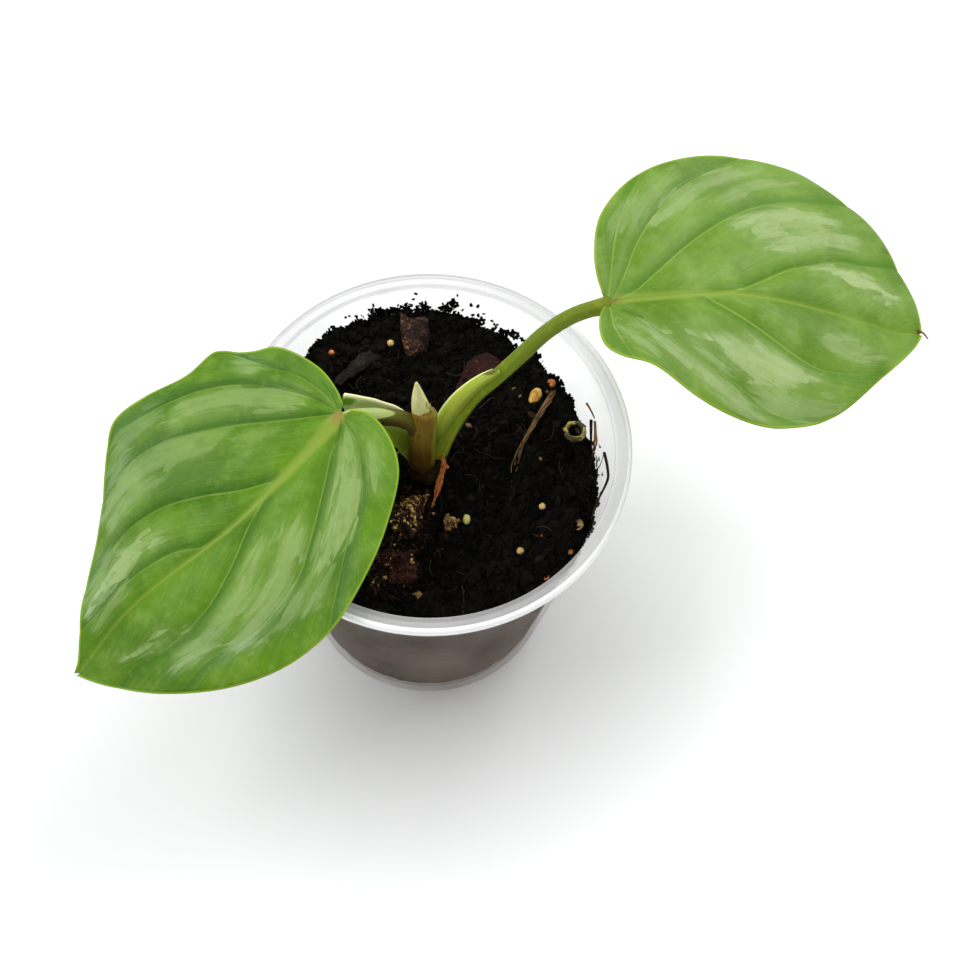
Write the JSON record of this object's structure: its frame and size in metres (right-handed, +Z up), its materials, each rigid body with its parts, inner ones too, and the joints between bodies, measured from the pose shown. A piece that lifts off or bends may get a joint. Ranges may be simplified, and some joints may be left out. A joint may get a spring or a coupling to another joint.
{
  "type": "potted philodendron mamei",
  "caption": "Young philodendron mamei in a clear round nursery pot: broad waved heart-shaped leaves on sheathed petioles, a new shoot, dark soil with bark chips.",
  "frame": {"origin": "centre of the pot's underside, on the surface it stands on", "axes": "+Z up along the pot's axis; +X towards the side of the higher leaf; +Y away from the lower leaf's tip"},
  "size_m": [0.1401, 0.0965, 0.0934],
  "materials": {
    "pot": "satin",
    "soil": "matte",
    "stem": "matte",
    "petiole_olive_brown": "satin",
    "petiole_green": "satin",
    "shoot": "satin",
    "leaf": "satin",
    "husk": "matte",
    "bark": "matte",
    "red_bark": "matte",
    "charcoal": "matte",
    "fibre": "matte",
    "grain": "matte",
    "bead": "matte"
  },
  "bodies": {
    "root": {"pot": "pot", "soil": "soil", "stem": "stem", "petiole_left": "petiole_olive_brown", "petiole_right": "petiole_green", "new_shoot": "shoot", "dry_husk": "husk", "leaf_left": "leaf", "leaf_right": "leaf", "bark_front": "bark", "bark_front_low": "bark", "bark_back": "red_bark", "bark_red": "red_bark", "bark_charcoal": "charcoal", "bark_small": "bark", "fibre_strip": "fibre", "seed_shell": "grain", "pellet_bean": "grain", "pellet_orange": "bead", "pellet_tan": "grain", "grain_1": "grain", "grain_2": "grain", "grain_3": "grain", "grain_4": "bead", "grain_5": "bead", "grain_6": "bead", "grain_7": "grain", "grain_8": "bead"}
  },
  "joints": []
}
